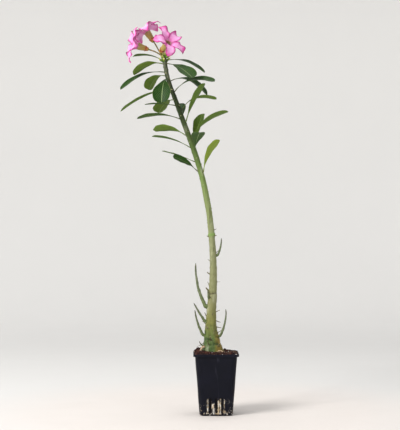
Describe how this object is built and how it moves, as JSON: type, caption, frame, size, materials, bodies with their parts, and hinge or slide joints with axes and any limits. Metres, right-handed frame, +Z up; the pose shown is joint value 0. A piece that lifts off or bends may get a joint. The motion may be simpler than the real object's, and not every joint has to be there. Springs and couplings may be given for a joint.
{
  "type": "potted desert rose",
  "caption": "Tall, leaning desert rose with spoon-shaped leaves and pink funnel flowers, growing in a square black nursery pot.",
  "frame": {"origin": "centre of the pot's base, on the ground", "axes": "+Z up, -Y towards the plant's front, +X to the right seen from the front; the plant leans towards -X"},
  "size_m": [0.2327, 0.1024, 0.773],
  "materials": {
    "pot": "satin",
    "soil": "matte",
    "stem": "satin",
    "shoot": "satin",
    "leaf": "satin",
    "bud": "satin",
    "petal": "matte",
    "calyx": "satin",
    "stalk": "satin",
    "anther": "matte"
  },
  "bodies": {
    "root": {"pot": "pot", "soil": "soil", "stem": "stem", "side_shoot_1": "shoot", "side_shoot_2": "shoot", "side_shoot_3": "shoot", "side_shoot_4": "shoot", "side_shoot_5": "shoot", "side_shoot_6": "shoot", "side_shoot_7": "shoot", "leaf_01": "leaf", "leaf_02": "leaf", "leaf_03": "leaf", "leaf_04": "leaf", "leaf_05": "leaf", "leaf_06": "leaf", "leaf_07": "leaf", "leaf_08": "leaf", "leaf_09": "leaf", "leaf_10": "leaf", "leaf_11": "leaf", "leaf_12": "leaf", "leaf_13": "leaf", "leaf_14": "leaf", "leaf_15": "leaf", "leaf_16": "leaf", "leaf_17": "leaf", "leaf_18": "leaf", "leaf_19": "leaf", "leaf_20": "leaf", "leaf_21": "leaf", "leaf_22": "leaf", "leaf_23": "leaf", "leaf_24": "leaf", "bud_1": "bud", "bud_2": "bud", "bud_3": "bud", "bud_4": "bud", "bud_5": "bud", "bud_6": "bud", "flower_1_stalk": "stalk", "flower_1_calyx": "calyx", "flower_1_corolla": "petal", "flower_1_anthers": "anther", "flower_2_stalk": "stalk", "flower_2_calyx": "calyx", "flower_2_corolla": "petal", "flower_2_anthers": "anther", "flower_3_stalk": "stalk", "flower_3_calyx": "calyx", "flower_3_corolla": "petal", "flower_3_anthers": "anther"}
  },
  "joints": []
}
